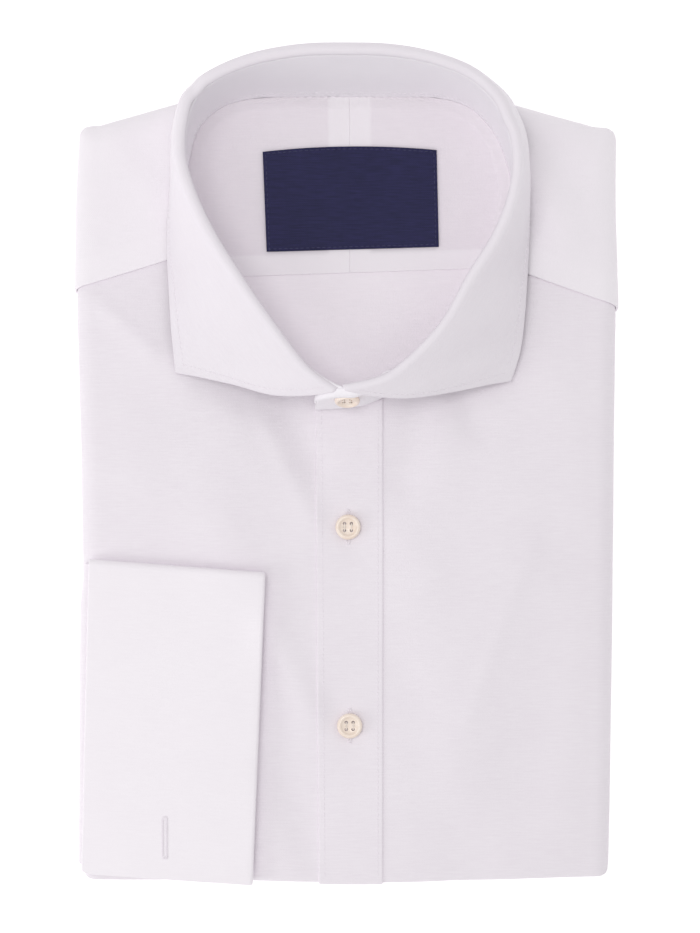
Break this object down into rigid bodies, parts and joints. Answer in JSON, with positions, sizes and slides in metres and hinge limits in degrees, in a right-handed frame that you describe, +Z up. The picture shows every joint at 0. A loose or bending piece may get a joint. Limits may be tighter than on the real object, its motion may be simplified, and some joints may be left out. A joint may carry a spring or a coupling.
{
  "type": "folded long sleeve dress shirt",
  "caption": "Long sleeve dress shirt folded flat on its back, its spread collar standing round the open neck and a double cuff turned over the front.",
  "frame": {"origin": "on the surface it lies on, under the middle of its outline", "axes": "+Z up from the surface, +Y from the bottom fold towards the collar, +X to the right of a person who looks down on the front"},
  "size_m": [0.2284, 0.351, 0.058],
  "materials": {
    "shirt_cloth": "fine plain weave cotton, matte, white with a faint pink cast",
    "inner_cloth": "the same cotton seen from its inner side",
    "collar_cloth": "interlined cotton, matte and pressed smooth",
    "cuff_cloth": "interlined cotton, matte and pressed smooth",
    "label_weave": "close woven satin ribbon, low sheen",
    "button": "polished cream resin"
  },
  "bodies": {
    "root": {"folded_layers": "inner_cloth", "front_left": "shirt_cloth", "front_right": "shirt_cloth", "yoke_outer_left": "shirt_cloth", "yoke_outer_right": "shirt_cloth", "placket": "shirt_cloth", "yoke_inner_left": "inner_cloth", "yoke_inner_right": "inner_cloth", "back_panel": "inner_cloth", "neck_label": "label_weave", "collar_band": "collar_cloth", "collar_leaf": "collar_cloth", "cuff": "cuff_cloth", "sleeve_end": "cuff_cloth", "button_upper": "button", "button_lower": "button", "button_collar": "button"}
  },
  "joints": []
}
